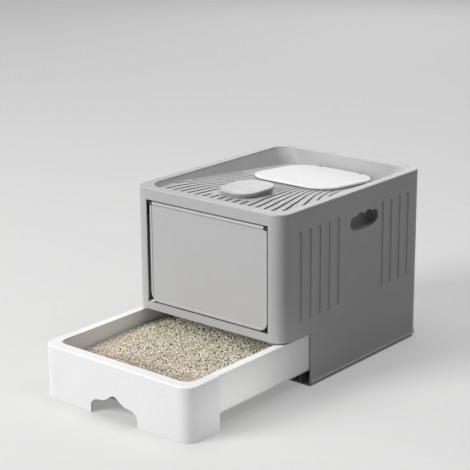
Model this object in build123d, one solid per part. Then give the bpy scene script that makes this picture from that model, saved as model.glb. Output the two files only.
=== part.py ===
from build123d import *
from math import atan, cos, degrees, pi, sin, sqrt
import os

# Drawer litter box, in millimetres. X points right as seen from the front,
# the front faces -Y, Z is up. The origin is on the floor, in the middle of
# the housing's footprint. The drawer is drawn pulled out, as in the photo.

# Housing
HOUSE_W = 410.0
HOUSE_D = 520.0
HOUSE_H = 400.0
WALL = 3.0
FIT = 0.3
CORNER_R = 32.0
RIM_W = 21.0
RIM_EDGE_R = 2.5
RIM_MOUTH_R = 2.2
NOTCH_Y = -159.0
NOTCH_H = 122.6

# Flap doorway in the front wall
DOOR_HALF = 169.0
SILL_Z = 140.0
LINTEL_Z = 374.0

# Pressed grooves in the side walls: five before the hand-hold, four behind
GROOVE_W = 13.0
GROOVE_DEEP = 2.6
GROOVE_DRAFT = 20.0
GROOVE_BACKING = 2.0
GROOVE_PITCH = 33.0
GROOVE_STEPS = (-6, -5, -4, -3, -2, 3, 4, 5, 6)
GROOVE_LOW = 154.5
GROOVE_HIGH = 354.5

# Hand-hold in each side wall, with four finger lobes along its top
GRIP_Y = 32.0
GRIP_HALF = 51.0
GRIP_LOW = 308.0
GRIP_HIGH = 348.5
GRIP_LOBE = 29.5
GRIP_TOOTH = 7.0
GRIP_TOOTH_R = 1.3
GRIP_FRONT_Z = 334.0
GRIP_REAR_Z = 336.0
GRIP_TURN_Z = 321.0
GRIP_LIP = 0.9
GRIP_DEEP = 24.0
POCKET_EDGE = 6.0
POCKET_T = 2.0
POCKET_R = 14.0
POCKET_STEP = 8.0

# Base
PLINTH_H = 9.0
PLINTH_INSET = 1.5
FLANGE_T = 3.0
FLANGE_OUT = 3.5
FLOOR_T = 3.0
SHELL_Z = PLINTH_H + FLANGE_T
LEDGE_H = 8.0
LEDGE_T = 2.0
BOSS_X = 195.5
BOSS_YS = (-130.0, 40.0, 205.0)
BOSS_H = 14.0
BOSS_HOLE = 11.0
RIB_X = 100.0
RIB_T = 4.0
RIB_H = 4.0
RIB_LENGTH = 60.0
RIB_YS = (-120.0, -20.0, 80.0, 180.0)

# Roof tray: level at the front, then falling to the rear
TRAY_T = 3.0
TRAY_HALF_W = 184.0
TRAY_FRONT = -238.0
TRAY_REAR = 239.0
TRAY_CORNER_R = 38.0
TRAY_LEAN = 0.8
DECK_Z = 389.0
DECK_BEND_Y = -140.0
DECK_REAR_Z = 361.0
DECK_REAR_Y = 240.0
ROOF_SCREW_INSET = 8.0
ROOF_SCREW_YS = (-150.0, 0.0, 150.0)

# Slots in the deck: a fan that draws together towards the lid
SLOT_W = 6.8
SLOT_PITCH = 21.0
SLOT_OUTER_PITCH = 25.5
SLOT_INNER_PAIRS = 8
SLOT_OUTER_PAIRS = 5
SLOT_FRONT = -203.0
SLOT_END = 26.0
SLOT_OUTER_END = 48.0
SLOT_NARROW = 0.45
SLOT_MARGIN = 6.0
SLOT_POINTS = 8

# Lid over the roof exit
LID_HALF_W = 115.0
LID_FRONT = 12.0
LID_REAR = 228.0
LID_FRONT_R = 57.0
LID_REAR_R = 65.0
LID_T = 5.5
LID_EDGE_R = 2.2
LID_GAP = 1.5
LID_RIB_GAP = 5.0
LID_RIB_T = 2.0
LID_RIB_H = 4.0
EXIT_MARGIN = 20.0
EXIT_LIP_H = 9.0
HINGE_X = 57.0
HINGE_BACK = 3.6
HINGE_NOTCH = 5.0
LUG_HALF = 3.6
LUG_R = 2.7
LUG_FOOT_X = 9.0
LUG_FOOT_T = 2.0
PIN_R = 1.5
PIN_INNER = 11.0
PIN_OUTER = 8.0
PIN_PLAY = 0.15

# Odour cup and its cap
CAP_Y = -120.0
CAP_HALF_X = 49.0
CAP_HALF_Y = 60.0
CAP_R = 40.0
CAP_TOP = 401.0
CAP_BAND = 3.0
CAP_LOW = 391.7
CAP_EDGE_R = 2.2
CAP_DRAFT = 3.0
PLUG_LOW = 384.0
PLUG_INSET = 13.4
PLUG_T = 2.0
COLLAR_INSET = 5.0
COLLAR_DROP = 2.0
CUP_LOW = 358.0
CUP_INSET = 11.0
CUP_T = 1.5
CUP_FLANGE_T = 1.1
CUP_FLANGE_OUT = 5.4
VENT_PITCH = 15.0
VENT_HALF_W = 2.0
VENT_HALF_L = 22.0
PAD_INSET = 14.0
CARBON_T = 11.3

# Flap door
FLAP_HALF = 163.5
FLAP_LOW = 141.5
FLAP_HIGH = 370.0
FLAP_T = 4.0
FLAP_FRONT = -256.0
FLAP_CORNER_R = 22.0
FLAP_AXIS_Y = -254.0
FLAP_AXIS_Z = 366.0
FLAP_PIN_R = 2.0
FLAP_PIN_END = 175.0
FLAP_STEM = 12.0
FLAP_ROLL_R = 4.0
FLAP_NOTCH_X = 155.0
FLAP_NOTCH_Z = 361.0
FLAP_BORDER = 6.0
FLAP_EDGE_R = 1.2
FLAP_DISH = 1.4
FLAP_BACK_DISH = 1.0

# Brackets beside the doorway that carry the flap
BRACKET_IN = 169.8
BRACKET_OUT = 178.0
BRACKET_REAR = -246.0
BRACKET_LOW = 338.0
BRACKET_HIGH = 372.0
BRACKET_ARM_R = 3.7
BRACKET_PLAY = 0.2
BRACKET_SCREW_ZS = (344.0, 355.0)
BRACKET_HEAD_R = 3.2

# Drawer, pulled out
DRAWER_FRONT = -548.9
FASCIA_REAR = -457.8
FASCIA_CORNER_R = 30.0
FASCIA_LOW = 0.5
FASCIA_EDGE_R = 2.6
FASCIA_SCREW_XS = (-140.0, -50.0, 50.0, 140.0)
FASCIA_SCREW_IN = 14.0
DRAWER_TOP = 118.6
RIM_FRONT_W = 25.0
BASIN_HALF = 182.6
BASIN_R = 22.0
BASIN_FOOT_R = 18.0
BASIN_DRAFT = 4.0
TUB_HALF = 201.0
TUB_REAR = -43.4
TUB_LOW = 32.2
TUB_EDGE_R = 10.0
TUB_CORNER_R = 28.0
SHELF_Z = 115.3
FINGER_HALF = 65.0
FINGER_SHOULDER = 32.0
FINGER_SHOULDER_R = 14.0
FINGER_FOOT = 27.0
FINGER_CREST = 51.0

# Guide grooves and stop lugs under the tub
GUIDE_X = 188.0
GUIDE_HALF = 1.8
GUIDE_INSET = 40.0
LUG_X = 150.0
LUG_HALF_X = 8.0
LUG_FRONT = -86.5
LUG_REAR = -76.5
LUG_LOW = 22.0

# Litter
LITTER_Z = 83.0
LITTER_RISE = 10.0
LITTER_WAVE = 1.4
LITTER_WAVE_X = 37.0
LITTER_WAVE_Y = 45.0
LITTER_GAP = 0.4

# Runners, glide pads and drawer stops
RUNNER_X = 174.0
RUNNER_W = 12.0
RUNNER_WEB = 4.0
RUNNER_T = 2.5
RUNNER_REAR = 245.0
PAD_T = 1.0
PAD_YS = (-130.0, -85.0, -65.0)
PAD_HALF_X = 5.0
PAD_HALF_Y = 8.0
STOP_HALF = 10.0
STOP_T = 7.0
STOP_FOOT = 26.0
STOP_HIGH = 28.0

# Screws
BOSS_R = 4.0
BOSS_PLAY = 0.4
PILOT_R = 1.6
SHANK_R = 1.5
HEAD_R = 6.0
HEAD_T = 2.0

HALF_W = HOUSE_W / 2
HALF_D = HOUSE_D / 2
RUNNER_FRONT = NOTCH_Y + 4
DECK_FALL = (DECK_Z - DECK_REAR_Z) / (DECK_REAR_Y - DECK_BEND_Y)
DECK_ANGLE = degrees(atan(DECK_FALL))
LEFT = -1
RIGHT = 1
SIDES = (LEFT, RIGHT)
OVER = 1.0  # how far a cut runs past the face that it opens


def at(shape, x, y, z):
    return Pos(x, y, z) * shape


def rounded_block(x0, x1, y0, y1, z0, z1, radius):
    """An upright block with rounded vertical corners."""
    plan = RectangleRounded(x1 - x0, y1 - y0, radius)
    return at(extrude(plan, z1 - z0), (x0 + x1) / 2, (y0 + y1) / 2, z0)


def block(x0, x1, y0, y1, z0, z1):
    """A plain block between two values on each axis, in either order."""
    box = Box(abs(x1 - x0), abs(y1 - y0), abs(z1 - z0))
    return at(box, (x0 + x1) / 2, (y0 + y1) / 2, (z0 + z1) / 2)


def rod_z(x, y, z0, z1, radius):
    return at(Cylinder(radius, z1 - z0), x, y, (z0 + z1) / 2)


def rod_x(x0, x1, y, z, radius):
    return at(Rot(0, 90, 0) * Cylinder(radius, abs(x1 - x0)), (x0 + x1) / 2, y, z)


def rod_y(x, y0, y1, z, radius):
    return at(Rot(90, 0, 0) * Cylinder(radius, y1 - y0), x, (y0 + y1) / 2, z)


def deck_z(y):
    """Height of the deck's upper face at a depth y."""
    return DECK_Z - DECK_FALL * max(0.0, y - DECK_BEND_Y)


def side_profile(points, x0, x1):
    """A prism along X from a closed line in the YZ plane."""
    face = make_face(Polyline(*[(0, y, z) for y, z in points], close=True))
    return at(extrude(face, x1 - x0, dir=(1, 0, 0)), x0, 0, 0)


def one_part(shapes):
    """Bodies of one kind, kept as one node."""
    return Compound(children=list(shapes))


# ---------------------------------------------------------------- base
def make_base():
    """Shallow plinth with a flange and a ledge that locates the housing."""
    edge = HALF_W - PLINTH_INSET
    rear = HALF_D - PLINTH_INSET
    plinth = rounded_block(-edge, edge, -rear, rear, 0, PLINTH_H, CORNER_R)
    reach = HALF_W + FLANGE_OUT
    far = HALF_D + FLANGE_OUT
    flange = rounded_block(
        -reach, reach, -far, far, PLINTH_H, SHELL_Z, CORNER_R + FLANGE_OUT)
    flange = chamfer(flange.edges().group_by(Axis.Z)[-1], 1.0)
    inner = HALF_W - WALL - FIT
    ledge_top = SHELL_Z + LEDGE_H
    ledge = rounded_block(
        -inner, inner, -HALF_D, HALF_D - WALL - FIT,
        PLINTH_H, ledge_top, CORNER_R - WALL)
    base = plinth + flange + ledge
    base -= rounded_block(
        -inner + LEDGE_T, inner - LEDGE_T, -HALF_D, HALF_D - WALL - FIT - LEDGE_T,
        PLINTH_H - OVER, ledge_top + OVER, CORNER_R - WALL - LEDGE_T)
    base -= rounded_block(
        -edge + WALL, edge - WALL, -rear, rear - WALL,
        FLOOR_T, SHELL_Z + OVER, CORNER_R - WALL)
    base -= block(-HOUSE_W, HOUSE_W, -HOUSE_D, NOTCH_Y + 1, -OVER, HOUSE_H)
    for x, y in boss_places():
        base -= rod_z(x, y, PLINTH_H - OVER, ledge_top + OVER, BOSS_R + BOSS_PLAY)
        base += rod_z(x, y, 0, PLINTH_H, HEAD_R + 2)
        base -= rod_z(x, y, -OVER, PLINTH_H + OVER, SHANK_R + FIT)
        base -= rod_z(x, y, -OVER, HEAD_T + 0.5, HEAD_R + FIT)
    for side in SIDES:
        x = side * RIB_X
        for y in RIB_YS:
            base += block(x - RIB_T / 2, x + RIB_T / 2, y, y + RIB_LENGTH,
                          FLOOR_T - OVER, FLOOR_T + RIB_H)
    return base


def boss_places():
    """Where the housing is screwed down to the base."""
    return [(side * BOSS_X, y) for side in SIDES for y in BOSS_YS]


def make_base_screws():
    screws = []
    low = 0.4
    for x, y in boss_places():
        head = rod_z(x, y, low, low + HEAD_T, HEAD_R - 1)
        shank = rod_z(x, y, HEAD_T, SHELL_Z + BOSS_HOLE - 1, SHANK_R)
        screws.append(head + shank)
    return one_part(screws)


# ------------------------------------------------------------- housing
def grip_outline():
    """Hand-hold opening in the YZ plane: bowed foot, scalloped top."""
    left = GRIP_Y - GRIP_HALF
    right = GRIP_Y + GRIP_HALF
    tooth = GRIP_HIGH - GRIP_TOOTH
    line = [Spline(
        (0, left, GRIP_REAR_Z), (0, left + 1, GRIP_TURN_Z), (0, left + 13, GRIP_LOW + 4),
        (0, GRIP_Y, GRIP_LOW), (0, right - 16, GRIP_LOW + 3.5), (0, right - 1, GRIP_TURN_Z),
        (0, right, GRIP_FRONT_Z))]
    teeth = [right, GRIP_Y + GRIP_LOBE, GRIP_Y, GRIP_Y - GRIP_LOBE, left]
    for y1, y0 in zip(teeth, teeth[1:]):
        z1 = GRIP_FRONT_Z if y1 == right else tooth
        z0 = GRIP_REAR_Z if y0 == left else tooth
        crest = GRIP_HIGH if z1 == z0 else GRIP_HIGH - 5
        line.append(ThreePointArc((0, y1, z1), (0, (y0 + y1) / 2, crest), (0, y0, z0)))
    face = make_face(Wire(line))
    cusps = [v for v in face.vertices() if v.Z > tooth - 1]
    return fillet(cusps, GRIP_TOOTH_R)


def make_groove(side, y, x, grow):
    """A round-ended flute, pressed inwards from a distance x."""
    mid = (GROOVE_LOW + GROOVE_HIGH) / 2
    length = GROOVE_HIGH - GROOVE_LOW + 2 * grow
    face = Plane((side * x, y, mid), x_dir=(0, 1, 0), z_dir=(-side, 0, 0))
    outline = face * SlotOverall(length, GROOVE_W + 2 * grow, rotation=90)
    return extrude(outline, GROOVE_DEEP, taper=GROOVE_DRAFT)


def is_grip_edge(edge, side):
    """Whether an edge is on the outside of a hand-hold's opening."""
    c = edge.center()
    on_face = abs(c.X - side * HALF_W) < 0.05
    return on_face and abs(c.Y - GRIP_Y) < GRIP_HALF + 2 and GRIP_LOW - 2 < c.Z < GRIP_HIGH + 2


def make_shell():
    """One moulding: four walls and the rim round the sunken roof."""
    shell = rounded_block(
        -HALF_W, HALF_W, -HALF_D, HALF_D, SHELL_Z, HOUSE_H, CORNER_R)
    shell = fillet(shell.edges().group_by(Axis.Z)[-1], RIM_EDGE_R)
    inner = HALF_W - WALL
    shell -= rounded_block(
        -inner, inner, -HALF_D + WALL, HALF_D - WALL,
        SHELL_Z - OVER, HOUSE_H - WALL, CORNER_R - WALL)
    shell -= rounded_block(
        -HALF_W + RIM_W, HALF_W - RIM_W, TRAY_FRONT, TRAY_REAR,
        HOUSE_H - WALL - OVER, HOUSE_H + OVER, TRAY_CORNER_R)
    mouth = shell.edges().filter_by_position(Axis.Z, HOUSE_H - 0.01, HOUSE_H + 0.01)
    mouth = [e for e in mouth if abs(e.center().X) < HALF_W - RIM_W + 1]
    mouth = [e for e in mouth if abs(e.center().Y) < HALF_D - RIM_W + 1]
    shell = fillet(mouth, RIM_MOUTH_R)
    shell -= block(-HALF_W - OVER, HALF_W + OVER, -HALF_D - OVER, NOTCH_Y, 0, NOTCH_H)
    shell -= block(-DOOR_HALF, DOOR_HALF, -HALF_D - OVER, -HALF_D + WALL + OVER,
                   SILL_Z, LINTEL_Z)
    for side in SIDES:
        for step in GROOVE_STEPS:
            y = step * GROOVE_PITCH
            shell += make_groove(side, y, HALF_W - WALL, GROOVE_BACKING)
            shell -= make_groove(side, y, HALF_W, 0)
        hole = extrude(grip_outline(), 2 * WALL, dir=(1, 0, 0))
        shell -= at(hole, side * (HALF_W - WALL / 2) - WALL, 0, 0)
        lip = [e for e in shell.edges() if is_grip_edge(e, side)]
        shell = chamfer(lip, GRIP_LIP)
    for x, y in boss_places():
        wall_x = (HALF_W - WALL / 2) * (1 if x > 0 else -1)
        web_low = SHELL_Z + LEDGE_H + 1
        shell += rod_z(x, y, SHELL_Z, SHELL_Z + BOSS_H, BOSS_R)
        shell += block(x, wall_x, y - 1, y + 1, web_low, SHELL_Z + BOSS_H)
        shell -= rod_z(x, y, SHELL_Z - OVER, SHELL_Z + BOSS_HOLE, PILOT_R)
    under_rim = HOUSE_H - WALL
    for x, y in roof_screw_places():
        shell += rod_z(x, y, under_rim - TRAY_T, under_rim, BOSS_R)
        shell -= rod_z(x, y, 0, HOUSE_H - 1, PILOT_R)
    return shell


def roof_screw_places():
    """Bosses under the rim that carry the roof tray."""
    x = HALF_W - WALL - ROOF_SCREW_INSET
    y = HALF_D - WALL - ROOF_SCREW_INSET
    places = [(side * x, along) for side in SIDES for along in ROOF_SCREW_YS]
    return places + [(0.0, -y), (0.0, y)]


def make_roof_screws():
    screws = []
    under = HOUSE_H - WALL - TRAY_T
    touch = 0.05
    for x, y in roof_screw_places():
        head = rod_z(x, y, under - HEAD_T - touch, under - touch, HEAD_R)
        shank = rod_z(x, y, under - 1, HOUSE_H - 1.5, SHANK_R)
        screws.append(head + shank)
    return one_part(screws)


def make_grip_pocket(side):
    """Closed pocket behind a hand-hold, with a stepped foot."""
    x_wall = HALF_W - WALL
    y0 = GRIP_Y - GRIP_HALF - POCKET_EDGE
    y1 = GRIP_Y + GRIP_HALF + POCKET_EDGE
    z0 = GRIP_LOW - POCKET_EDGE
    z1 = GRIP_HIGH + POCKET_EDGE
    deep = x_wall - GRIP_DEEP
    body = block(deep - POCKET_T, x_wall, y0, y1, z0, z1)
    body = fillet(body.edges().filter_by(Axis.X), POCKET_R)
    hollow = block(deep, x_wall + OVER, y0 + POCKET_T, y1 - POCKET_T,
                   z0 + POCKET_T, z1 - POCKET_T)
    hollow = fillet(hollow.edges().filter_by(Axis.X), POCKET_R - POCKET_T)
    hollow -= block(x_wall - POCKET_STEP, x_wall + 2 * OVER, y0, y1, z0, GRIP_LOW - 1)
    pocket = body - hollow
    if side == LEFT:
        pocket = mirror(pocket, Plane.YZ)
    return pocket


# ----------------------------------------------------------- roof tray
def tray_space(grow):
    """The space inside the tray, grown outwards by a wall's thickness."""
    top = HOUSE_H - WALL
    low = DECK_REAR_Z - 40
    narrow = (top - low) * TRAY_LEAN
    mid_y = (TRAY_FRONT + TRAY_REAR) / 2
    length = TRAY_REAR - TRAY_FRONT
    upper = Plane((0, mid_y, top)) * RectangleRounded(
        2 * (TRAY_HALF_W + grow), length + 2 * grow, TRAY_CORNER_R + grow)
    lower = Plane((0, mid_y, low)) * RectangleRounded(
        2 * (TRAY_HALF_W + grow - narrow), length + 2 * grow, TRAY_CORNER_R + grow)
    funnel = loft([lower, upper], ruled=True)
    return funnel & side_profile(above_deck(grow, top + OVER), -HALF_W, HALF_W)


def above_deck(drop, top):
    """Outline of the space over the deck, its floor lowered by a drop."""
    far = HALF_D + 40
    return [(-far, top), (-far, DECK_Z - drop), (DECK_BEND_Y, DECK_Z - drop),
            (far, deck_z(far) - drop), (far, top)]


def fan(y):
    """How far the slots have drawn together at a depth y."""
    run = (y - SLOT_FRONT) / (SLOT_END - SLOT_FRONT)
    return 1 - SLOT_NARROW * (0.5 * run + 0.25 * (1 - cos(pi * run)))


def slot_start(spread):
    """Where a slot comes clear of the tray's sloping side."""
    y = SLOT_FRONT
    reach = TRAY_HALF_W - SLOT_MARGIN
    while spread * fan(y) > reach - TRAY_LEAN * (HOUSE_H - WALL - deck_z(y)):
        y += 2
    return y


def make_slot(spread, y0, y1):
    """A slot that narrows as the fan draws together."""
    ys = [y0 + (y1 - y0) * i / SLOT_POINTS for i in range(SLOT_POINTS + 1)]
    right = Spline(*[((spread + SLOT_W / 2) * fan(y), y, 0) for y in ys])
    left = Spline(*[((spread - SLOT_W / 2) * fan(y), y, 0) for y in reversed(ys)])
    near = slot_end(spread, y0, -1)
    far = slot_end(spread, y1, 1)
    outline = make_face(Wire([right, far, left, near]))
    low = DECK_REAR_Z - 4 * TRAY_T
    return at(extrude(outline, HOUSE_H - low), 0, 0, low)


def slot_end(spread, y, way):
    """The round end of a slot, facing forward or back."""
    x = spread * fan(y)
    half = SLOT_W / 2 * fan(y)
    return ThreePointArc((x + way * half, y, 0), (x, y + way * half, 0), (x - way * half, y, 0))


def cut_slots(tray):
    """Cut the fan, which breaks off at the cap and at the tray's sides."""
    cap_front = CAP_Y - CAP_HALF_Y + 1
    cap_rear = CAP_Y + CAP_HALF_Y + 2
    for pair in range(SLOT_INNER_PAIRS):
        spread = SLOT_PITCH * (pair + 0.5)
        for side in SIDES:
            if spread < CAP_HALF_X + COLLAR_INSET:
                tray -= make_slot(side * spread, SLOT_FRONT, cap_front)
                tray -= make_slot(side * spread, cap_rear, SLOT_END)
            else:
                tray -= make_slot(side * spread, SLOT_FRONT, SLOT_END)
    last = SLOT_PITCH * (SLOT_INNER_PAIRS - 0.5)
    for pair in range(SLOT_OUTER_PAIRS):
        spread = last + SLOT_OUTER_PITCH * (pair + 1)
        for side in SIDES:
            tray -= make_slot(side * spread, slot_start(spread), SLOT_OUTER_END)
    return tray


def cap_block(inset, z0, z1):
    """A block of the cap's outline, drawn in by an inset."""
    return rounded_block(
        -CAP_HALF_X + inset, CAP_HALF_X - inset,
        CAP_Y - CAP_HALF_Y + inset, CAP_Y + CAP_HALF_Y - inset,
        z0, z1, CAP_R - inset)


def make_roof_tray():
    """Sunken roof: flange under the rim, sloping sides, slotted deck."""
    top = HOUSE_H - WALL
    tray = rounded_block(
        -HALF_W + WALL + FIT, HALF_W - WALL - FIT,
        -HALF_D + WALL + FIT, HALF_D - WALL - FIT,
        top - TRAY_T, top, CORNER_R - WALL)
    tray += tray_space(TRAY_T)
    tray -= tray_space(0)
    collar = cap_block(COLLAR_INSET, DECK_Z - TRAY_T * 3, DECK_Z + 1)
    lifted = side_profile(above_deck(COLLAR_DROP, HOUSE_H), -CAP_HALF_X, CAP_HALF_X)
    tray += collar & lifted
    tray -= cap_block(CUP_INSET, CUP_LOW, HOUSE_H)
    tray = cut_slots(tray)
    tray -= deck_local(exit_hole(0, 60), -30)
    lip = exit_hole(TRAY_T, EXIT_LIP_H) - exit_hole(0, 2 * EXIT_LIP_H)
    tray += deck_local(lip, -EXIT_LIP_H - 1)
    reach = LUG_HALF + FIT
    for side in SIDES:
        x = side * HINGE_X
        tray -= block(x - reach, x + reach, LID_REAR - 8, LID_REAR + 1.5,
                      DECK_REAR_Z - 20, DECK_REAR_Z + 20)
    for x, y in roof_screw_places():
        tray -= rod_z(x, y, top - TRAY_T - OVER, top + OVER, BOSS_R + BOSS_PLAY)
    return tray


def deck_local(shape, rise):
    """Set a shape drawn on a level deck down on the sloping one."""
    tilt = Pos(0, DECK_BEND_Y, DECK_Z) * Rot(-DECK_ANGLE, 0, 0)
    return tilt * Pos(0, 0, rise) * shape


def along_deck(y):
    """Distance along the sloping deck from its bend to a depth y."""
    return (y - DECK_BEND_Y) / cos(DECK_ANGLE * pi / 180)


# ------------------------------------------------- roof exit and its lid
def corner(x, y, way_x, way_y, radius):
    """A quarter turn round an outline's corner, entered along X or Y."""
    mid = (1 - sqrt(0.5)) * radius
    ends = [(x - way_x * radius, y, 0), (x, y - way_y * radius, 0)]
    middle = (x - way_x * mid, y - way_y * mid, 0)
    if way_x != way_y:
        ends.reverse()
    return ThreePointArc(ends[0], middle, ends[1])


def lid_plan(inset, height):
    """The lid's outline, drawn from the bend of the deck."""
    y0 = along_deck(LID_FRONT) + inset
    y1 = along_deck(LID_REAR) - inset
    half = LID_HALF_W - inset
    front_r = LID_FRONT_R - inset
    rear_r = LID_REAR_R - inset
    line = [
        Line((-half + rear_r, y1, 0), (half - rear_r, y1, 0)),
        corner(half, y1, 1, 1, rear_r),
        Line((half, y1 - rear_r, 0), (half, y0 + front_r, 0)),
        corner(half, y0, 1, -1, front_r),
        Line((half - front_r, y0, 0), (-half + front_r, y0, 0)),
        corner(-half, y0, -1, -1, front_r),
        Line((-half, y0 + front_r, 0), (-half, y1 - rear_r, 0)),
        corner(-half, y1, -1, 1, rear_r),
    ]
    return extrude(make_face(Wire(line)), height)


def exit_hole(grow, height):
    return lid_plan(EXIT_MARGIN - grow, height)


def lid_axis():
    """The hinge line, in the lid's rounded rear edge."""
    return along_deck(LID_REAR) - HINGE_BACK, LID_GAP + LID_T / 2


def pin_span(side):
    """Ends of a lid pin, kept inside the lid's round corner."""
    return side * (HINGE_X - PIN_INNER), side * (HINGE_X + PIN_OUTER)


def make_exit_lid():
    """Flat lid with a locating rib below and two notches for its lugs."""
    lid = lid_plan(0, LID_T)
    lid = fillet(lid.edges().group_by(Axis.Z)[-1], LID_EDGE_R)
    lid = fillet(lid.edges().group_by(Axis.Z)[0], LID_EDGE_R)
    outer = EXIT_MARGIN + LID_RIB_GAP
    rib = lid_plan(outer, LID_RIB_H + 1) - lid_plan(outer + LID_RIB_T, LID_RIB_H + 2)
    hinge_side = along_deck(LID_REAR - 2 * outer)
    rib -= block(-HALF_W, HALF_W, hinge_side, hinge_side + HALF_D, -OVER, 2 * LID_T)
    lid += Pos(0, 0, -LID_RIB_H) * rib
    y, z = lid_axis()
    for side in SIDES:
        x = side * HINGE_X
        lid -= block(x - HINGE_NOTCH, x + HINGE_NOTCH, y - HINGE_NOTCH, y + 2 * HINGE_NOTCH,
                     -LID_T, 2 * LID_T)
        lid -= rod_x(*pin_span(side), y, z - LID_GAP, PIN_R)
    return deck_local(lid, LID_GAP)


def make_lid_pins():
    y, z = lid_axis()
    return one_part([deck_local(rod_x(*pin_span(side), y, z, PIN_R), 0) for side in SIDES])


def make_lid_brackets():
    """Lugs that come up through the deck into the lid's notches."""
    y, z = lid_axis()
    foot_top = -TRAY_T - 0.2
    foot_low = foot_top - LUG_FOOT_T
    brackets = []
    for side in SIDES:
        x = side * HINGE_X
        lug = block(x - LUG_HALF, x + LUG_HALF, y - LUG_R, y + LUG_R, foot_low, z)
        lug += rod_x(x - LUG_HALF, x + LUG_HALF, y, z, LUG_R)
        lug += block(x - LUG_FOOT_X, x + LUG_FOOT_X, y - LUG_FOOT_X, y + LUG_FOOT_X - 2,
                     foot_low, foot_top)
        lug -= rod_x(x - LUG_HALF - OVER, x + LUG_HALF + OVER, y, z, PIN_R + PIN_PLAY)
        brackets.append(deck_local(lug, 0))
    return one_part(brackets)


# --------------------------------------------------- odour cup and cap
def make_odour_cup():
    """Thin cup hung by its flange in the deck, vented below."""
    flange_z = CAP_LOW - 0.5 - CUP_FLANGE_T
    outside = CUP_INSET + 0.4
    cup = cap_block(outside, CUP_LOW, flange_z)
    cup += cap_block(outside - CUP_FLANGE_OUT, flange_z, flange_z + CUP_FLANGE_T)
    cup -= cap_block(outside + CUP_T, CUP_LOW + CUP_T, HOUSE_H)
    for k in (-2, -1, 0, 1, 2):
        y = CAP_Y + VENT_PITCH * k
        cup -= block(-VENT_HALF_L, VENT_HALF_L, y - VENT_HALF_W, y + VENT_HALF_W,
                     CUP_LOW - OVER, CUP_LOW + CUP_T + OVER)
    return cup


def make_carbon_pad():
    low = CUP_LOW + CUP_T + 0.2
    return cap_block(PAD_INSET, low, low + CARBON_T)


def make_odour_cap():
    """Pebble-like cap, with a hollow plug that drops into the cup."""
    foot = Plane((0, CAP_Y, CAP_LOW)) * RectangleRounded(
        2 * (CAP_HALF_X - CAP_DRAFT), 2 * (CAP_HALF_Y - CAP_DRAFT), CAP_R - CAP_DRAFT)
    brow = Plane((0, CAP_Y, CAP_TOP - CAP_BAND)) * RectangleRounded(
        2 * CAP_HALF_X, 2 * CAP_HALF_Y, CAP_R)
    cap = loft([foot, brow], ruled=True)
    cap += cap_block(0, CAP_TOP - CAP_BAND, CAP_TOP)
    cap = fillet(cap.edges().group_by(Axis.Z)[-1], CAP_EDGE_R)
    cap += cap_block(PLUG_INSET, PLUG_LOW, CAP_LOW + 1)
    cap -= cap_block(PLUG_INSET + PLUG_T, PLUG_LOW - OVER, CAP_LOW)
    return cap


# ----------------------------------------------------------- flap door
def flap_plate(grow, front, rear):
    """The flap's plate, with round lower corners."""
    half = FLAP_HALF + grow
    low = FLAP_LOW - grow
    high = FLAP_HIGH + grow
    radius = FLAP_CORNER_R + grow
    k = (1 - sqrt(0.5)) * radius
    line = [
        Line((-half, 0, high), (half, 0, high)),
        Line((half, 0, high), (half, 0, low + radius)),
        ThreePointArc((half, 0, low + radius), (half - k, 0, low + k), (half - radius, 0, low)),
        Line((half - radius, 0, low), (-half + radius, 0, low)),
        ThreePointArc((-half + radius, 0, low), (-half + k, 0, low + k),
                      (-half, 0, low + radius)),
        Line((-half, 0, low + radius), (-half, 0, high)),
    ]
    plate = extrude(make_face(Wire(line)), rear - front, dir=(0, 1, 0))
    return at(plate, 0, front, 0)


def make_front_flap():
    """A dished plate with a raised border, under a round hinge roll."""
    rear = FLAP_FRONT + FLAP_T
    flap = flap_plate(0, FLAP_FRONT, rear)
    flap -= flap_plate(-FLAP_BORDER, FLAP_FRONT - OVER, FLAP_FRONT + FLAP_DISH)
    flap = fillet(flap.edges().group_by(Axis.Y)[0], FLAP_EDGE_R)
    flap -= flap_plate(-FLAP_BORDER - 2, rear - FLAP_BACK_DISH, rear + OVER)
    flap += rod_x(-FLAP_NOTCH_X, FLAP_NOTCH_X, FLAP_AXIS_Y, FLAP_AXIS_Z, FLAP_ROLL_R)
    for side in SIDES:
        flap -= block(side * FLAP_NOTCH_X, side * (FLAP_HALF + OVER),
                      FLAP_FRONT - FLAP_T, rear + FLAP_T, FLAP_NOTCH_Z, FLAP_HIGH + OVER)
        flap -= rod_x(*stem_span(side), FLAP_AXIS_Y, FLAP_AXIS_Z, PIN_R)
    return flap


def stem_span(side):
    """Ends of the stem that holds a pin in the hinge roll."""
    return side * (FLAP_NOTCH_X - FLAP_STEM), side * (FLAP_NOTCH_X + BRACKET_PLAY)


def make_flap_pins():
    """A stem in the flap and a thicker journal in the bracket."""
    pins = []
    for side in SIDES:
        stem = rod_x(*stem_span(side), FLAP_AXIS_Y, FLAP_AXIS_Z, PIN_R)
        journal = rod_x(side * (FLAP_NOTCH_X + BRACKET_PLAY), side * FLAP_PIN_END,
                        FLAP_AXIS_Y, FLAP_AXIS_Z, FLAP_PIN_R)
        pins.append(stem + journal)
    return one_part(pins)


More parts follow.
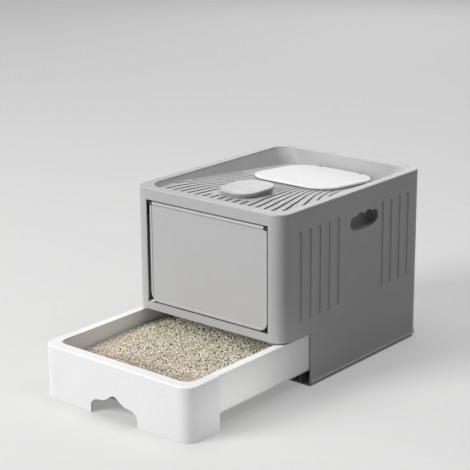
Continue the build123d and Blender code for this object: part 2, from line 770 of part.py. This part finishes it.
def make_flap_brackets():
    """Bearings that reach into the flap's notches from beside the doorway."""
    brackets = []
    for side in SIDES:
        body = block(side * BRACKET_IN, side * BRACKET_OUT,
                     FLAP_FRONT - 0.4, BRACKET_REAR, BRACKET_LOW, BRACKET_HIGH)
        arm = rod_x(side * (FLAP_NOTCH_X + 2), side * FLAP_PIN_END,
                    FLAP_AXIS_Y, FLAP_AXIS_Z, BRACKET_ARM_R)
        body += arm & block(-HALF_W, HALF_W, FLAP_FRONT, BRACKET_REAR, SILL_Z, LINTEL_Z)
        body -= rod_x(side * FLAP_NOTCH_X, side * (BRACKET_OUT + OVER),
                      FLAP_AXIS_Y, FLAP_AXIS_Z, FLAP_PIN_R + BRACKET_PLAY)
        x = side * (BRACKET_IN + BRACKET_OUT) / 2
        for z in BRACKET_SCREW_ZS:
            body -= rod_y(x, FLAP_FRONT - FLAP_T, BRACKET_REAR + OVER, z, SHANK_R + 0.1)
        brackets.append(body)
    return one_part(brackets)


def make_bracket_screws():
    screws = []
    seat = BRACKET_REAR + 0.1
    for side in SIDES:
        x = side * (BRACKET_IN + BRACKET_OUT) / 2
        for z in BRACKET_SCREW_ZS:
            head = rod_y(x, seat, seat + HEAD_T, z, BRACKET_HEAD_R)
            shank = rod_y(x, FLAP_FRONT - FIT, seat + 1, z, SHANK_R)
            screws.append(head + shank)
    return one_part(screws)


# -------------------------------------------------------------- drawer
def make_litter_tub():
    """Double-walled tub: outer skin, rim and the litter basin inside."""
    front = DRAWER_FRONT + WALL + 1
    tub = rounded_block(
        -TUB_HALF, TUB_HALF, front, TUB_REAR, TUB_LOW, DRAWER_TOP, TUB_CORNER_R)
    tub = fillet(tub.edges().group_by(Axis.Z)[0], TUB_EDGE_R)
    inner = rounded_block(
        -TUB_HALF + WALL, TUB_HALF - WALL, front + WALL, TUB_REAR - WALL,
        TUB_LOW + WALL, DRAWER_TOP - WALL, TUB_CORNER_R - WALL)
    inner = fillet(inner.edges().group_by(Axis.Z)[0], TUB_EDGE_R - WALL)
    inner -= block(-HALF_W, HALF_W, front - OVER, FASCIA_REAR + 1,
                   SHELF_Z - WALL, DRAWER_TOP + OVER)
    tub -= inner
    tub += basin(WALL, TUB_LOW, DRAWER_TOP)
    tub -= basin(0, TUB_LOW + WALL, DRAWER_TOP + OVER)
    # the front is open below its shelf, as a finger space
    tub -= block(-TUB_HALF - OVER, TUB_HALF + OVER, front - OVER,
                 DRAWER_FRONT + RIM_FRONT_W - WALL, 0, SHELF_Z - WALL)
    # the fascia's rim rests on a shelf
    tub -= block(-HALF_W, HALF_W, DRAWER_FRONT - OVER, FASCIA_REAR + 0.4,
                 SHELF_Z, DRAWER_TOP + OVER)
    for side in SIDES:
        x = side * GUIDE_X
        tub -= block(x - GUIDE_HALF, x + GUIDE_HALF, DRAWER_FRONT + GUIDE_INSET,
                     TUB_REAR - GUIDE_INSET, TUB_LOW - OVER, TUB_LOW + WALL + 0.5)
        x = side * LUG_X
        tub += block(x - LUG_HALF_X, x + LUG_HALF_X, LUG_FRONT, LUG_REAR,
                     LUG_LOW, TUB_LOW + 1)
    for x, y in fascia_screw_places():
        tub -= rod_z(x, y, SHELF_Z - WALL - OVER, SHELF_Z + OVER, BOSS_R + BOSS_PLAY)
    return tub


def basin(grow, low, top):
    """The litter basin: walls drawn in a little towards the floor."""
    y0 = DRAWER_FRONT + RIM_FRONT_W
    y1 = TUB_REAR - TUB_HALF + BASIN_HALF
    mid_y = (y0 + y1) / 2
    length = y1 - y0
    drawn_in = grow - BASIN_DRAFT
    upper = Plane((0, mid_y, top)) * RectangleRounded(
        2 * (BASIN_HALF + grow), length + 2 * grow, BASIN_R + grow)
    lower = Plane((0, mid_y, low)) * RectangleRounded(
        2 * (BASIN_HALF + drawn_in), length + 2 * drawn_in, BASIN_FOOT_R + grow)
    return loft([lower, upper], ruled=True)


def fascia_screw_places():
    return [(x, DRAWER_FRONT + FASCIA_SCREW_IN) for x in FASCIA_SCREW_XS]


def finger_cut():
    """Finger opening in the skirt: round shoulders and a hump between."""
    half = FINGER_HALF
    low = FASCIA_LOW - OVER
    high = FINGER_SHOULDER
    spring = high - 13
    shoulder = half - FINGER_SHOULDER_R
    rise = high + 4.5
    line = [
        Line((-half, 0, low), (half, 0, low)),
        Line((half, 0, low), (half, 0, spring)),
        Spline((half, 0, spring), (shoulder, 0, high), (FINGER_FOOT, 0, rise),
               (0, 0, FINGER_CREST), (-FINGER_FOOT, 0, rise), (-shoulder, 0, high),
               (-half, 0, spring)),
        Line((-half, 0, spring), (-half, 0, low)),
    ]
    cut = extrude(make_face(Wire(line)), 4 * WALL, dir=(0, 1, 0))
    return at(cut, 0, DRAWER_FRONT - WALL - 1, 0)


def make_drawer_front():
    """Deep fascia that wraps the tub's corners, with the front rim."""
    front = DRAWER_FRONT
    far = FASCIA_REAR + 60
    body = rounded_block(
        -HALF_W, HALF_W, front, far, FASCIA_LOW, DRAWER_TOP, FASCIA_CORNER_R)
    body = fillet(body.edges().group_by(Axis.Z)[-1], FASCIA_EDGE_R)
    body -= rounded_block(
        -HALF_W + WALL, HALF_W - WALL, front + WALL, far - WALL,
        FASCIA_LOW - OVER, DRAWER_TOP - WALL, FASCIA_CORNER_R - WALL)
    body -= rounded_block(
        -BASIN_HALF, BASIN_HALF, front + RIM_FRONT_W, far + 80,
        SHELF_Z - 2, DRAWER_TOP + OVER, BASIN_R)
    body -= block(-HALF_W - OVER, HALF_W + OVER, FASCIA_REAR, far + OVER,
                  0, DRAWER_TOP + OVER)
    body -= finger_cut()
    for x, y in fascia_screw_places():
        body += rod_z(x, y, SHELF_Z - WALL, DRAWER_TOP - 1, BOSS_R)
        body -= rod_z(x, y, SHELF_Z - WALL - OVER, DRAWER_TOP - 1.5, PILOT_R)
    return body


def make_fascia_screws():
    screws = []
    under = SHELF_Z - WALL - 0.05
    for x, y in fascia_screw_places():
        head = rod_z(x, y, under - HEAD_T, under, HEAD_R)
        screws.append(head + rod_z(x, y, under - 1, DRAWER_TOP - 2, SHANK_R))
    return one_part(screws)


def litter_height(x, y):
    """The heap: low at the walls, raised in the middle, a little uneven."""
    mid = (DRAWER_FRONT + TUB_REAR) / 2
    half = (TUB_REAR - DRAWER_FRONT) / 2
    heap = (1 - (x / TUB_HALF) ** 2) * (1 - ((y - mid) / half) ** 2)
    wave = sin(x / LITTER_WAVE_X) * cos(y / LITTER_WAVE_Y)
    return LITTER_Z + LITTER_RISE * heap + LITTER_WAVE * wave


def make_litter_bed():
    """Loose litter, heaped towards the middle of the basin."""
    fill = basin(-LITTER_GAP, TUB_LOW, DRAWER_TOP)
    fill &= block(-HALF_W, HALF_W, DRAWER_FRONT, 0, TUB_LOW + WALL + FIT, DRAWER_TOP - 2)
    length = TUB_REAR - DRAWER_FRONT
    columns = [TUB_HALF * i / 6 for i in range(-6, 7)]
    rows = [DRAWER_FRONT + length * j / 14 for j in range(15)]
    top = Face.make_surface_from_array_of_points(
        [[Vector(x, y, litter_height(x, y)) for y in rows] for x in columns])
    return fill & extrude(top, HOUSE_H, dir=(0, 0, -1))


# ------------------------------------------------------- running gear
def make_runner(side):
    """Rail on the base floor that carries the tub."""
    x = side * RUNNER_X
    top = TUB_LOW - PAD_T - 0.4
    half = RUNNER_W / 2
    web_half = RUNNER_WEB / 2
    rail = block(x - half, x + half, RUNNER_FRONT, RUNNER_REAR, FLOOR_T, FLOOR_T + RUNNER_T)
    rail += block(x - web_half, x + web_half, RUNNER_FRONT, RUNNER_REAR, FLOOR_T, top)
    head = block(x - half, x + half, RUNNER_FRONT, RUNNER_REAR, top - RUNNER_T, top)
    return rail + fillet(head.edges().filter_by(Axis.Y), 0.8)


def make_glide_pads():
    pads = []
    for side in SIDES:
        x = side * RUNNER_X
        for y in PAD_YS:
            pads.append(rounded_block(
                x - PAD_HALF_X, x + PAD_HALF_X, y - PAD_HALF_Y, y + PAD_HALF_Y,
                TUB_LOW - PAD_T, TUB_LOW - 0.02, 3))
    return one_part(pads)


def make_drawer_stops():
    """Blocks that catch the tub's lugs at full travel."""
    stops = []
    for side in SIDES:
        x0 = side * LUG_X - STOP_HALF
        x1 = side * LUG_X + STOP_HALF
        post = block(x0, x1, RUNNER_FRONT, RUNNER_FRONT + STOP_T, FLOOR_T, STOP_HIGH)
        foot = block(x0, x1, RUNNER_FRONT, RUNNER_FRONT + STOP_FOOT, FLOOR_T, FLOOR_T + WALL)
        stops.append(post + foot)
    return one_part(stops)


NODES = {
    "base_plinth": make_base,
    "housing_shell": make_shell,
    "roof_tray": make_roof_tray,
    "left_grip_pocket": lambda: make_grip_pocket(LEFT),
    "right_grip_pocket": lambda: make_grip_pocket(RIGHT),
    "left_runner": lambda: make_runner(LEFT),
    "right_runner": lambda: make_runner(RIGHT),
    "drawer_stops": make_drawer_stops,
    "base_screws": make_base_screws,
    "roof_screws": make_roof_screws,
    "flap_hinge_brackets": make_flap_brackets,
    "bracket_screws": make_bracket_screws,
    "lid_hinge_brackets": make_lid_brackets,
    "odour_cup": make_odour_cup,
    "carbon_pad": make_carbon_pad,
    "odour_cap": make_odour_cap,
    "front_flap": make_front_flap,
    "flap_hinge_pins": make_flap_pins,
    "exit_lid": make_exit_lid,
    "lid_hinge_pins": make_lid_pins,
    "litter_tub": make_litter_tub,
    "drawer_front": make_drawer_front,
    "fascia_screws": make_fascia_screws,
    "glide_pads": make_glide_pads,
    "litter_bed": make_litter_bed,
}

os.makedirs("parts", exist_ok=True)
for name, make in NODES.items():
    export_step(make(), f"parts/{name}.step")
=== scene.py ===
import bpy, random
from math import cos, pi, radians, sin
from mathutils import Matrix, Vector


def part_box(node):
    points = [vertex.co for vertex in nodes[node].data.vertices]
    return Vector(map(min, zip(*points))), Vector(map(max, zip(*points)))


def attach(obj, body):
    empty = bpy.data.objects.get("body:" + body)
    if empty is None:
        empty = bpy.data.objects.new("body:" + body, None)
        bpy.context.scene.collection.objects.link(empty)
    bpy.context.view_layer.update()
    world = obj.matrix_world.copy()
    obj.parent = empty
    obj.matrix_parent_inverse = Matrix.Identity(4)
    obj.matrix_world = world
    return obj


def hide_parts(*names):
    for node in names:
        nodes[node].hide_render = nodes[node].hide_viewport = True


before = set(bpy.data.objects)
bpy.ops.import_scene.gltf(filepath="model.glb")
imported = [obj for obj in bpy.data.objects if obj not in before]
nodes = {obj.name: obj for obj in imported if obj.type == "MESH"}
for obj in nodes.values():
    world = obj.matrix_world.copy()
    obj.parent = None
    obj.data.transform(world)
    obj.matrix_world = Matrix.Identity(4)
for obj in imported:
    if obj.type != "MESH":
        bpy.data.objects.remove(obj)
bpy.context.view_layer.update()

# The base: a moulded plinth with a thin flange that the housing stands on. Mid grey polypropylene,
# satin, its grey lifted a little above the housing's as a painted highlight along the flange's lit
# edge. Screwed to the housing from below.
def wire(material, source, output, target, entry):
    material.node_tree.links.new(source.outputs[output], target.inputs[entry])


def moulded(name, tone, shade, rough=0.42, grain=1500.0, pits=0.05, coat=0.0, blotch=7.0):
    """Injection-moulded plastic: fine spark-eroded grain, faint cloudiness and sheen."""
    plastic = bpy.data.materials.new(name)
    plastic.use_nodes = True
    tree = plastic.node_tree
    skin = tree.nodes["Principled BSDF"]
    skin.inputs["Roughness"].default_value = rough
    skin.inputs["Coat Weight"].default_value = coat
    skin.inputs["Coat Roughness"].default_value = 0.25
    skin.inputs["Specular IOR Level"].default_value = 0.42
    place = tree.nodes.new("ShaderNodeTexCoord")
    cloud = tree.nodes.new("ShaderNodeTexNoise")
    cloud.inputs["Scale"].default_value = blotch
    cloud.inputs["Detail"].default_value = 5.0
    cloud.inputs["Roughness"].default_value = 0.6
    tint = tree.nodes.new("ShaderNodeValToRGB")
    tint.color_ramp.elements[0].position = 0.3
    tint.color_ramp.elements[0].color = (*shade, 1)
    tint.color_ramp.elements[1].position = 0.7
    tint.color_ramp.elements[1].color = (*tone, 1)
    speck = tree.nodes.new("ShaderNodeTexNoise")
    speck.inputs["Scale"].default_value = grain
    speck.inputs["Detail"].default_value = 2.0
    swirl = tree.nodes.new("ShaderNodeTexNoise")
    swirl.inputs["Scale"].default_value = 40.0
    swirl.inputs["Detail"].default_value = 6.0
    gloss = tree.nodes.new("ShaderNodeMapRange")
    gloss.inputs["From Min"].default_value = 0.25
    gloss.inputs["From Max"].default_value = 0.75
    gloss.inputs["To Min"].default_value = rough - 0.06
    gloss.inputs["To Max"].default_value = rough + 0.08
    relief = tree.nodes.new("ShaderNodeBump")
    relief.inputs["Strength"].default_value = pits
    relief.inputs["Distance"].default_value = 0.0004
    for texture in (cloud, speck, swirl):
        wire(plastic, place, "Object", texture, "Vector")
    wire(plastic, cloud, "Fac", tint, "Fac")
    wire(plastic, tint, "Color", skin, "Base Color")
    wire(plastic, swirl, "Fac", gloss, "Value")
    wire(plastic, gloss, "Result", skin, "Roughness")
    wire(plastic, speck, "Fac", relief, "Height")
    wire(plastic, relief, "Normal", skin, "Normal")
    return plastic


def finish(node, material):
    """Give a frame node its finish on every slot."""
    mesh = nodes[node].data
    mesh.materials.clear()
    mesh.materials.append(material)


# The plinth's grey is lighter than the housing's: a painted highlight for the flange edge.
plinth_grey_painted_highlight = moulded("plinth_grey_painted_highlight", (0.48, 0.48, 0.482), (0.45, 0.45, 0.452), rough=0.42)
finish("base_plinth", plinth_grey_painted_highlight)

# Six plated pan-head screws hold the base, eight the roof tray, four the
# flap brackets and four the drawer front. Zinc-plated steel with a faint
# turned grain on the heads.
zinc = bpy.data.materials.new("zinc_plate")
zinc.use_nodes = True
steel = zinc.node_tree.nodes["Principled BSDF"]
steel.inputs["Base Color"].default_value = (0.56, 0.57, 0.59, 1)
steel.inputs["Metallic"].default_value = 1.0
turned = zinc.node_tree.nodes.new("ShaderNodeTexNoise")
turned.inputs["Scale"].default_value = 900.0
turned.inputs["Detail"].default_value = 3.0
turned_place = zinc.node_tree.nodes.new("ShaderNodeTexCoord")
turned_gloss = zinc.node_tree.nodes.new("ShaderNodeMapRange")
turned_gloss.inputs["To Min"].default_value = 0.22
turned_gloss.inputs["To Max"].default_value = 0.42
wire(zinc, turned_place, "Object", turned, "Vector")
wire(zinc, turned, "Fac", turned_gloss, "Value")
wire(zinc, turned_gloss, "Result", steel, "Roughness")
for fixing in ("base_screws", "roof_screws", "bracket_screws", "fascia_screws"):
    finish(fixing, zinc)

# Runners and stops: slippery grey nylon strips and blocks on the base floor, their grey darkened as
# painted shade under the tub. The tub rides on them on six small dark glide pads.
# Dark grey here is painted shade: the runners sit in the shade under the tub.
runner_nylon_painted_shade = moulded("runner_nylon_painted_shade", (0.30, 0.30, 0.31), (0.26, 0.26, 0.27), rough=0.3)
for rail in ("left_runner", "right_runner", "drawer_stops"):
    finish(rail, runner_nylon_painted_shade)
glide_felt = moulded("glide_felt", (0.035, 0.035, 0.036), (0.02, 0.02, 0.021), rough=0.8,
                     grain=3000.0, pits=0.4)
finish("glide_pads", glide_felt)

# The housing: one grey polypropylene moulding with a wide flat rim, fluted
# sides and a big front opening. Satin, with the fine grain of the mould.
housing_grey = moulded("housing_grey", (0.415, 0.415, 0.417), (0.385, 0.385, 0.387), rough=0.4,
                       blotch=3.0)
finish("housing_shell", housing_grey)

# The pockets behind the two hand-holds, in the housing's plastic, set in
# from inside so that fingers meet a smooth wall.
pocket_grey = moulded("pocket_grey", (0.40, 0.40, 0.402), (0.365, 0.365, 0.367), rough=0.45)
finish("left_grip_pocket", pocket_grey)
finish("right_grip_pocket", pocket_grey)

# The roof tray: a sunken slotted deck where the cat wipes its paws. The same
# grey as the housing; the deck's grain is a little coarser for grip.
tray_grey = moulded("tray_grey", (0.42, 0.42, 0.422), (0.385, 0.385, 0.387), rough=0.46,
                    grain=1100.0, pits=0.1)
finish("roof_tray", tray_grey)

# The deodoriser cup in the deck, its black carbon pad, and the grey cap
# that floats above it on a neck, so that air can pass.
cup_grey = moulded("cup_grey", (0.33, 0.33, 0.335), (0.30, 0.30, 0.305), rough=0.45)
finish("odour_cup", cup_grey)
carbon = moulded("carbon_felt", (0.022, 0.022, 0.023), (0.012, 0.012, 0.013), rough=0.95,
                 grain=2400.0, pits=0.9)
finish("carbon_pad", carbon)
cap_grey = moulded("cap_grey", (0.385, 0.385, 0.387), (0.36, 0.36, 0.362), rough=0.34, coat=0.15)
finish("odour_cap", cap_grey)

# The white lid over the roof exit: thick, smooth and satin, on two black
# lugs at the rear with steel pins.
lid_white = moulded("lid_white", (0.77, 0.77, 0.77), (0.75, 0.75, 0.75), rough=0.56,
                    pits=0.008, blotch=3.0)
finish("exit_lid", lid_white)
finish("lid_hinge_pins", zinc)
hinge_black = moulded("hinge_black", (0.022, 0.022, 0.022), (0.014, 0.014, 0.014), rough=0.38)
finish("lid_hinge_brackets", hinge_black)

# The front flap: a thin grey plate with a bevelled edge and round lower
# corners, hung on black pins in two black bearing blocks.
flap_grey = moulded("flap_grey", (0.44, 0.44, 0.442), (0.415, 0.415, 0.417), rough=0.36,
                    blotch=2.2)
finish("front_flap", flap_grey)
finish("flap_hinge_pins", hinge_black)
finish("flap_hinge_brackets", hinge_black)

# The drawer: a white double-walled tub with a front that wraps round its
# sides. Satin white polypropylene.
drawer_white = moulded("drawer_white", (0.78, 0.78, 0.775), (0.755, 0.755, 0.75), rough=0.4)
finish("drawer_front", drawer_white)
tub_white = moulded("tub_white", (0.84, 0.84, 0.828), (0.81, 0.81, 0.80), rough=0.4)
finish("litter_tub", tub_white)

# The litter: pale mineral granules of about 3 mm, browner and darker towards the front and lighter
# and greener at the rear, the rear lightening being painted light against the housing's shadow;
# heaped a little in the middle of the tub. The heap below is the bed that the loose top granules
# lie in, coloured near black as painted shade in the gaps between them.
litter_low, litter_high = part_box("litter_bed")


def litter(name, shades):
    """Mineral granules: a tone for each cell, browner and darker in front, lighter and greener
    behind, the rear lightening being painted light.
    """
    litter_grain = bpy.data.materials.new(name)
    litter_grain.use_nodes = True
    chalk = litter_grain.node_tree.nodes["Principled BSDF"]
    chalk.inputs["Roughness"].default_value = 0.9
    chalk.inputs["Specular IOR Level"].default_value = 0.2
    grit_place = litter_grain.node_tree.nodes.new("ShaderNodeTexCoord")
    grit_cells = litter_grain.node_tree.nodes.new("ShaderNodeTexVoronoi")
    grit_cells.inputs["Scale"].default_value = 340.0
    grit_tint = litter_grain.node_tree.nodes.new("ShaderNodeValToRGB")
    for position, colour in zip((0.0, 0.22, 0.5, 0.78, 1.0), shades):
        if position in (0.0, 1.0):
            stop = grit_tint.color_ramp.elements[int(position)]
        else:
            stop = grit_tint.color_ramp.elements.new(position)
        stop.color = (*colour, 1)
    grit_spread = litter_grain.node_tree.nodes.new("ShaderNodeSeparateColor")
    grit_fine = litter_grain.node_tree.nodes.new("ShaderNodeTexNoise")
    grit_fine.inputs["Scale"].default_value = 1200.0
    grit_relief = litter_grain.node_tree.nodes.new("ShaderNodeBump")
    grit_relief.inputs["Strength"].default_value = 0.5
    grit_relief.inputs["Distance"].default_value = 0.0006
    wire(litter_grain, grit_place, "Object", grit_cells, "Vector")
    wire(litter_grain, grit_place, "Object", grit_fine, "Vector")
    wire(litter_grain, grit_cells, "Color", grit_spread, "Color")
    wire(litter_grain, grit_spread, "Red", grit_tint, "Fac")
    # Front-to-rear tint: the browner, darker front is the litter's tone; the lighter rear is
    # painted light against the housing's shadow.
    grit_spot = litter_grain.node_tree.nodes.new("ShaderNodeSeparateXYZ")
    grit_run = litter_grain.node_tree.nodes.new("ShaderNodeMapRange")
    grit_run.inputs["From Min"].default_value = -0.52
    grit_run.inputs["From Max"].default_value = -0.30
    grit_tone_and_painted_light = litter_grain.node_tree.nodes.new("ShaderNodeValToRGB")
    grit_tone_and_painted_light.color_ramp.elements[0].color = (0.66, 0.58, 0.50, 1)
    grit_tone_and_painted_light.color_ramp.elements[1].color = (0.98, 0.97, 0.86, 1)
    grit_middle = grit_tone_and_painted_light.color_ramp.elements.new(0.45)
    grit_middle.color = (1.0, 0.94, 0.87, 1)
    grit_mix = litter_grain.node_tree.nodes.new("ShaderNodeMix")
    grit_mix.data_type = "RGBA"
    grit_mix.blend_type = "MULTIPLY"
    grit_mix.inputs["Factor"].default_value = 1.0
    wire(litter_grain, grit_place, "Object", grit_spot, "Vector")
    wire(litter_grain, grit_spot, "Y", grit_run, "Value")
    wire(litter_grain, grit_run, "Result", grit_tone_and_painted_light, "Fac")
    wire(litter_grain, grit_tint, "Color", grit_mix, "A")
    wire(litter_grain, grit_tone_and_painted_light, "Color", grit_mix, "B")
    wire(litter_grain, grit_mix, "Result", chalk, "Base Color")
    wire(litter_grain, grit_fine, "Fac", grit_relief, "Height")
    wire(litter_grain, grit_relief, "Normal", chalk, "Normal")
    return litter_grain


granule_tan = litter("granule_tan", ((0.26, 0.235, 0.19), (0.42, 0.385, 0.32), (0.56, 0.52, 0.44),
                                     (0.68, 0.64, 0.56), (0.80, 0.77, 0.70)))
# The bed's near-black shades are painted shade: they darken the gaps between the loose granules.
bed_painted_shade = litter("bed_painted_shade", ((0.02, 0.018, 0.014), (0.045, 0.04, 0.03), (0.07, 0.063, 0.048),
                                 (0.11, 0.10, 0.08), (0.18, 0.165, 0.13)))


heap_middle_y, heap_half_length, heap_half_width = -0.29615, 0.25275, 0.201
heap_foot, heap_rise, heap_ripple = 0.083, 0.010, 0.0014


def heap_height(x, y):
    """The heap in the tub: low at the walls, raised in the middle, uneven."""
    crown = ((1 - (x / heap_half_width) ** 2)
             * (1 - ((y - heap_middle_y) / heap_half_length) ** 2))
    wave = sin(x / 0.037) * cos(y / 0.045)
    return heap_foot + heap_rise * crown + heap_ripple * wave


def deselect():
    for thing in bpy.context.selected_objects:
        thing.select_set(False)


wall_gap, bed_depth, bed_below_top = 0.004, 0.045, 0.002
deselect()
tub_middle = (litter_low + litter_high) / 2
bpy.ops.mesh.primitive_grid_add(x_subdivisions=86, y_subdivisions=108, size=1,
                                location=(tub_middle.x, tub_middle.y, 0))
heap = bpy.context.object
heap.name = "litter_heap"
heap.scale = (litter_high.x - litter_low.x - wall_gap,
              litter_high.y - litter_low.y - wall_gap, 1)
bpy.ops.object.transform_apply(location=True, rotation=True, scale=True)
random.seed(7)
for corner in heap.data.vertices:
    roughness = random.uniform(-0.0007, 0.0007)
    corner.co.z = heap_height(corner.co.x, corner.co.y) - bed_below_top + roughness
bpy.ops.object.mode_set(mode="EDIT")
bpy.ops.mesh.select_all(action="SELECT")
bpy.ops.mesh.extrude_region_move(TRANSFORM_OT_translate={"value": (0, 0, -bed_depth)})
bpy.ops.mesh.select_all(action="SELECT")
bpy.ops.mesh.normals_make_consistent(inside=False)
bpy.ops.object.mode_set(mode="OBJECT")
heap.data.materials.append(bed_painted_shade)
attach(heap, "drawer")

deselect()
granule_radius, granules_per_piece = 0.0021, 6600
granule_sink, side_gap = 0.0014, 0.003
bpy.ops.mesh.primitive_ico_sphere_add(subdivisions=1, radius=granule_radius, location=(0, 0, 0))
granule = bpy.context.object
bpy.ops.transform.resize(value=(1.0, 0.76, 0.72))
bpy.ops.object.transform_apply(location=True, rotation=True, scale=True)
random.seed(19)
for corner in granule.data.vertices:
    corner.co *= random.uniform(0.85, 1.12)
shape_points = [corner.co.copy() for corner in granule.data.vertices]
shape_faces = [tuple(face.vertices) for face in granule.data.polygons]
bpy.data.objects.remove(granule)
for part_of_tub, front, rear in (("front", litter_low.y, -0.40), ("middle", -0.40, -0.26),
                                 ("rear", -0.26, litter_high.y)):
    points, faces = [], []
    for k in range(granules_per_piece):
        x = random.uniform(litter_low.x + side_gap, litter_high.x - side_gap)
        y = random.uniform(max(front, litter_low.y + side_gap), min(rear, litter_high.y - side_gap))
        turn = Matrix.Rotation(random.uniform(0, 2 * pi), 3, "Z")
        tip = Matrix.Rotation(random.uniform(-0.9, 0.9), 3, "X")
        size = random.choice((0.7, 0.85, 1.0, 1.0, 1.2))
        lift = random.uniform(-0.0012, 0.0012)
        seat = Vector((x, y, heap_height(x, y) - granule_sink + lift))
        start = len(points)
        points += [seat + turn @ tip @ p * size for p in shape_points]
        faces += [tuple(start + i for i in face) for face in shape_faces]
    gravel_mesh = bpy.data.meshes.new("litter_granules_" + part_of_tub)
    gravel_mesh.from_pydata(points, [], faces)
    gravel = bpy.data.objects.new("litter_granules_" + part_of_tub, gravel_mesh)
    bpy.context.scene.collection.objects.link(gravel)
    gravel_mesh.materials.append(granule_tan)
    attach(gravel, "drawer")
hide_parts("litter_bed")

# The studio: a pale floor that looks light to the camera and in reflections
# but throws little light back up, soft lamps, and a small low lamp beside
# the drawer.
deselect()
bpy.ops.mesh.primitive_plane_add(size=40, location=(0, 0, 0))
floor = bpy.context.object
floor.name = "studio_floor"
pale = bpy.data.materials.new("studio_pale")
pale.use_nodes = True
paper = pale.node_tree.nodes["Principled BSDF"]
paper.inputs["Roughness"].default_value = 0.9
paper.inputs["Specular IOR Level"].default_value = 0.1
seen = pale.node_tree.nodes.new("ShaderNodeLightPath")
mirrored = pale.node_tree.nodes.new("ShaderNodeMath")
mirrored.operation = "MAXIMUM"
through = pale.node_tree.nodes.new("ShaderNodeMath")
through.operation = "MAXIMUM"
paper_tone = pale.node_tree.nodes.new("ShaderNodeMix")
paper_tone.data_type = "RGBA"
paper_tone.inputs["A"].default_value = (0.26, 0.26, 0.255, 1)
paper_tone.inputs["B"].default_value = (0.42, 0.42, 0.415, 1)
wire(pale, seen, "Is Camera Ray", mirrored, 0)
wire(pale, seen, "Is Glossy Ray", mirrored, 1)
wire(pale, mirrored, "Value", through, 0)
wire(pale, seen, "Is Transmission Ray", through, 1)
wire(pale, through, "Value", paper_tone, "Factor")
wire(pale, paper_tone, "Result", paper, "Base Color")
glow = pale.node_tree.nodes.new("ShaderNodeMath")
glow.operation = "MULTIPLY"
glow.inputs[1].default_value = 0.28
paper.inputs["Emission Color"].default_value = (1.0, 1.0, 0.99, 1)
wire(pale, through, "Value", glow, 0)
wire(pale, glow, "Value", paper, "Emission Strength")
floor.data.materials.append(pale)


def soft_lamp(name, seat, target, width, height, watts, beam=180):
    lamp = bpy.data.objects.new(name, bpy.data.lights.new(name, "AREA"))
    lamp.data.shape = "RECTANGLE"
    lamp.data.size = width
    lamp.data.size_y = height
    lamp.data.energy = watts
    lamp.data.spread = radians(beam)
    lamp.location = seat
    lamp.rotation_euler = (Vector(target) - Vector(seat)).to_track_quat("-Z", "Y").to_euler()
    lamp.visible_camera = False
    bpy.context.scene.collection.objects.link(lamp)


soft_lamp("front_left_lamp", (-2.4, -5.0, 3.2), (0, -0.2, 0.2), 2.7, 2.7, 400)
soft_lamp("top_lamp", (-0.9, 0.0, 4.8), (0, -0.1, 0.2), 3.0, 3.0, 72)
soft_lamp("rear_lamp", (-2.7, 4.7, 2.2), (0, 0.1, 0.2), 2.4, 2.4, 32)
soft_lamp("top_right_lamp", (2.5, 0.3, 4.5), (0.2, -0.1, 0.2), 1.8, 1.8, 40)
soft_lamp("drawer_lamp", (0.90, -0.42, 0.06), (0.2085, -0.42, 0.05), 0.30, 0.05, 0.085, beam=28)
room = bpy.data.worlds.new("studio_room")
room.use_nodes = True
room_light = room.node_tree.nodes["Background"]
room_light.inputs["Color"].default_value = (0.95, 0.96, 1.0, 1)
room_light.inputs["Strength"].default_value = 0.20
room_seen = room.node_tree.nodes.new("ShaderNodeBackground")
room_seen.inputs["Color"].default_value = (0.66, 0.66, 0.655, 1)
room_path = room.node_tree.nodes.new("ShaderNodeLightPath")
room_mirror = room.node_tree.nodes.new("ShaderNodeMath")
room_mirror.operation = "MAXIMUM"
room_glass = room.node_tree.nodes.new("ShaderNodeMath")
room_glass.operation = "MAXIMUM"
room_mix = room.node_tree.nodes.new("ShaderNodeMixShader")
for source, output, target, entry in (
        (room_path, "Is Camera Ray", room_mirror, 0), (room_path, "Is Glossy Ray", room_mirror, 1),
        (room_mirror, "Value", room_glass, 0), (room_path, "Is Transmission Ray", room_glass, 1),
        (room_glass, "Value", room_mix, 0), (room_light, "Background", room_mix, 1),
        (room_seen, "Background", room_mix, 2),
        (room_mix, "Shader", room.node_tree.nodes["World Output"], "Surface")):
    room.node_tree.links.new(source.outputs[output], target.inputs[entry])
bpy.context.scene.world = room

# The camera, where the photograph was taken from.
azimuth, elevation, roll = radians(39.903), radians(16.678), radians(-0.423)
back = Vector((sin(azimuth) * cos(elevation), -cos(azimuth) * cos(elevation), sin(elevation)))
level = Vector((cos(azimuth), sin(azimuth), 0))
rise = back.cross(level)
across = cos(roll) * level + sin(roll) * rise
upward = cos(roll) * rise - sin(roll) * level
camera = bpy.data.objects.new("camera", bpy.data.cameras.new("camera"))
camera_seat = (1.97713, -2.52614, 1.22441)
camera_turn = Matrix((across, upward, back)).transposed().to_4x4()
camera.matrix_world = Matrix.Translation(camera_seat) @ camera_turn
camera.data.lens = 113.93
camera.data.sensor_width = 36
camera.data.clip_end = 100
bpy.context.scene.collection.objects.link(camera)
bpy.context.scene.camera = camera
bpy.context.scene.view_settings.view_transform = "Standard"
